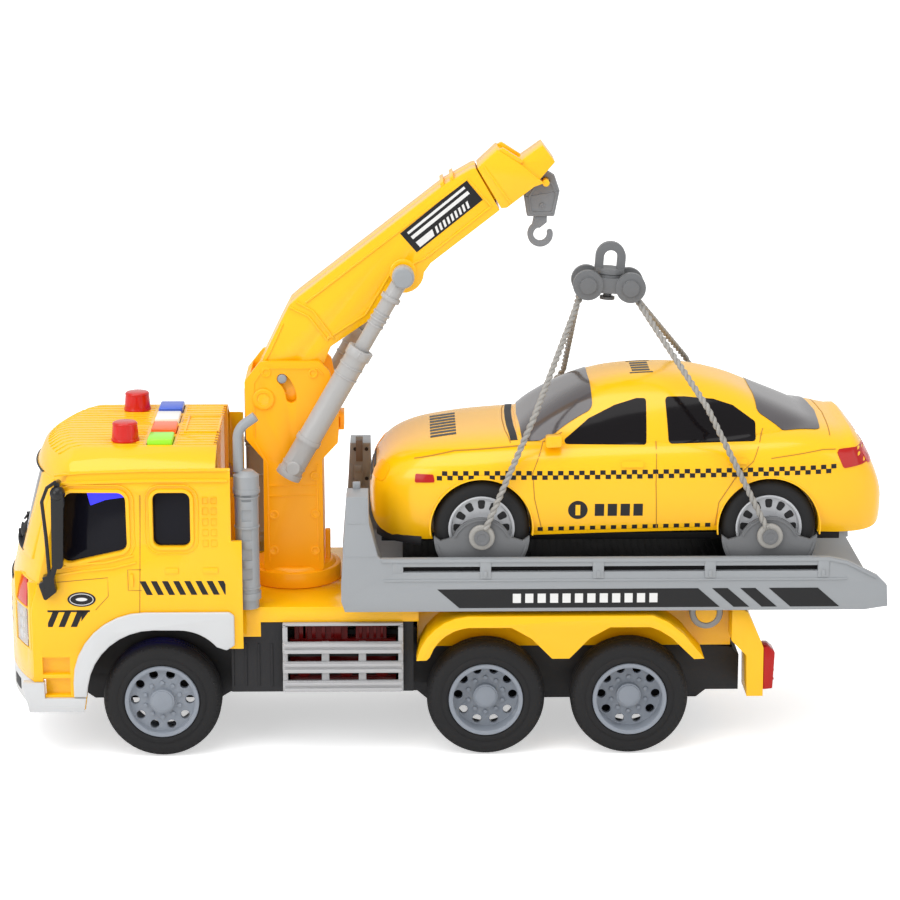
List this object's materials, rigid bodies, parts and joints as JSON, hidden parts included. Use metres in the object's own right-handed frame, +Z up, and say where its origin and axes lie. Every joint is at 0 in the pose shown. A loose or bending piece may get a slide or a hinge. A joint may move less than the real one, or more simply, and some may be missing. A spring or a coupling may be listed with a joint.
{
  "type": "toy tow truck",
  "caption": "Toy tow truck with a slewing folding crane, a tilting carrier bed, roof buttons and lamps, carrying a small saloon car in a rigid lifting sling.",
  "frame": {"origin": "on the floor, at the middle of the length and width", "axes": "+Z up, the nose points along -X, +Y is the truck's right-hand side seen from its tail towards the nose"},
  "size_m": [0.376, 0.1184, 0.2552],
  "materials": {
    "yellow_plastic": "moulded ABS, glossy yellow",
    "amber_plastic": "moulded ABS, warmer yellow",
    "grey_plastic": "moulded ABS, satin mid grey",
    "silver_plastic": "moulded ABS, silver white",
    "black_plastic": "moulded ABS, satin black",
    "deck_rubber": "ribbed black deck mat",
    "smoked_window": "dark tinted polystyrene",
    "blue_interior": "moulded blue interior",
    "clear_lens": "clear polystyrene lens",
    "red_lens": "red translucent polystyrene",
    "dark_red_plastic": "moulded dark red engine detail",
    "tyre_rubber": "matt black PVC",
    "rim_grey": "moulded blue grey",
    "steel": "plated steel",
    "gear_white": "acetal, white",
    "cell_case": "dry cell jacket",
    "board_green": "glass-epoxy board",
    "speaker_black": "speaker basket and cone",
    "button_blue": "moulded blue",
    "button_white": "moulded white",
    "button_orange": "moulded orange",
    "button_green": "moulded green",
    "taxi_base_grey": "moulded dark grey",
    "leg_grey": "moulded warm grey polyethylene"
  },
  "bodies": {
    "truck": {"chassis_frame": "black_plastic", "rear_body": "yellow_plastic", "cab_shell": "yellow_plastic", "cab_glass": "smoked_window", "cab_interior": "blue_interior", "bumper": "silver_plastic", "wheel_arch_trims": "silver_plastic", "headlamp_lenses": "clear_lens", "marker_lenses": "red_lens", "mirrors": "black_plastic", "roof_beacons": "red_lens", "exhaust_stacks": "grey_plastic", "engine_guards": "silver_plastic", "engine_blocks": "dark_red_plastic", "tail_lights": "red_lens", "battery_cover": "black_plastic", "batteries": "cell_case", "circuit_board": "board_green", "speaker": "speaker_black", "gearbox_case": "gear_white", "assembly_screws": "steel"},
    "front_wheels": {"front_axle": "steel", "front_rims": "rim_grey", "front_tyres": "tyre_rubber"},
    "middle_wheels": {"middle_axle": "steel", "middle_rims": "rim_grey", "middle_tyres": "tyre_rubber"},
    "rear_wheels": {"rear_axle": "steel", "rear_rims": "rim_grey", "rear_tyres": "tyre_rubber", "drive_gear": "gear_white"},
    "flywheel_rotor": {"flywheel": "steel"},
    "turret": {"turret_base": "amber_plastic", "turret_left_shell": "amber_plastic", "turret_right_shell": "amber_plastic", "boom_pivot_pin": "yellow_plastic"},
    "boom": {"boom_left_shell": "yellow_plastic", "boom_right_shell": "yellow_plastic", "boom_pins": "grey_plastic"},
    "extension": {"boom_extension": "yellow_plastic"},
    "hook_assembly": {"hook_block": "grey_plastic", "hook": "grey_plastic"},
    "barrels": {"cylinder_barrels": "grey_plastic", "barrel_pin": "grey_plastic"},
    "rods": {"cylinder_rods": "grey_plastic"},
    "bed": {"bed_frame": "grey_plastic", "deck_mat": "deck_rubber"},
    "blue_button": {"button_blue": "button_blue"},
    "white_button": {"button_white": "button_white"},
    "orange_button": {"button_orange": "button_orange"},
    "green_button": {"button_green": "button_green"},
    "load": {"taxi_body": "yellow_plastic", "taxi_glass": "smoked_window", "taxi_base": "taxi_base_grey", "sling_cradles": "grey_plastic", "sling_legs": "leg_grey", "sling_spreader": "grey_plastic"},
    "taxi_front_axle": {"taxi_front_wheels": "tyre_rubber"},
    "taxi_rear_axle": {"taxi_rear_wheels": "tyre_rubber"},
    "ring": {"sling_ring": "grey_plastic"}
  },
  "joints": [
    {"name": "front_wheel_spin", "type": "hinge", "parent": "truck", "child": "front_wheels", "pos_m": [-0.12, 0, 0.025], "axis": [0, 1, 0], "continuous": true},
    {"name": "middle_wheel_spin", "type": "hinge", "parent": "truck", "child": "middle_wheels", "pos_m": [0.017, 0, 0.025], "axis": [0, 1, 0], "continuous": true},
    {"name": "rear_wheel_spin", "type": "hinge", "parent": "truck", "child": "rear_wheels", "pos_m": [0.078, 0, 0.025], "axis": [0, 1, 0], "continuous": true},
    {"name": "flywheel_spin", "type": "hinge", "parent": "truck", "child": "flywheel_rotor", "pos_m": [0.078, 0, 0.0378], "axis": [0, 1, 0], "continuous": true},
    {"name": "turret_slew", "type": "hinge", "parent": "truck", "child": "turret", "pos_m": [-0.065, 0, 0.065], "axis": [0, 0, 1], "continuous": true},
    {"name": "boom_pitch", "type": "hinge", "parent": "turret", "child": "boom", "pos_m": [-0.0768, 0, 0.1481], "axis": [0, 1, 0], "range_deg": [0, 7]},
    {"name": "boom_extend", "type": "slide", "parent": "boom", "child": "extension", "axis": [0.7912, 0, 0.6115], "range_m": [0, 0.03]},
    {"name": "hook_swing", "type": "hinge", "parent": "extension", "child": "hook_assembly", "pos_m": [0.0428, 0, 0.2391], "axis": [0, 1, 0], "range_deg": [-25, 25]},
    {"name": "barrel_pivot", "type": "hinge", "parent": "turret", "child": "barrels", "pos_m": [-0.0642, 0, 0.1203], "axis": [0, 1, 0], "range_deg": [0, 6]},
    {"name": "rod_slide", "type": "slide", "parent": "barrels", "child": "rods", "axis": [0.4988, 0, 0.8667], "range_m": [-0.0035, 0]},
    {"name": "bed_tilt", "type": "hinge", "parent": "truck", "child": "bed", "pos_m": [0.1107, 0, 0.0604], "axis": [0, 1, 0], "range_deg": [0, 25]},
    {"name": "blue_press", "type": "slide", "parent": "truck", "child": "blue_button", "axis": [0, 0, -1], "range_m": [0, 0.0012], "stiffness_N_per_m": 400},
    {"name": "white_press", "type": "slide", "parent": "truck", "child": "white_button", "axis": [0, 0, -1], "range_m": [0, 0.0012], "stiffness_N_per_m": 400},
    {"name": "orange_press", "type": "slide", "parent": "truck", "child": "orange_button", "axis": [0, 0, -1], "range_m": [0, 0.0012], "stiffness_N_per_m": 400},
    {"name": "green_press", "type": "slide", "parent": "truck", "child": "green_button", "axis": [0, 0, -1], "range_m": [0, 0.0012], "stiffness_N_per_m": 400},
    {"name": "load_slide", "type": "slide", "parent": "bed", "child": "load", "axis": [1, 0, 0], "range_m": [0, 0.22]},
    {"name": "taxi_front_spin", "type": "hinge", "parent": "load", "child": "taxi_front_axle", "pos_m": [0.0151, 0, 0.0989], "axis": [0, 1, 0], "continuous": true},
    {"name": "taxi_rear_spin", "type": "hinge", "parent": "load", "child": "taxi_rear_axle", "pos_m": [0.1357, 0, 0.0989], "axis": [0, 1, 0], "continuous": true},
    {"name": "ring_swivel", "type": "hinge", "parent": "load", "child": "ring", "pos_m": [0.0702, 0, 0.1946], "axis": [0.0698, 0, 0.9976], "continuous": true}
  ],
  "couplings": [
    {"joint": "flywheel_spin", "follows": "rear_wheel_spin", "ratio": -3},
    {"joint": "barrel_pivot", "follows": "boom_pitch", "ratio": 0.821},
    {"joint": "rod_slide", "follows": "boom_pitch", "m_per_rad": -0.0256}
  ]
}
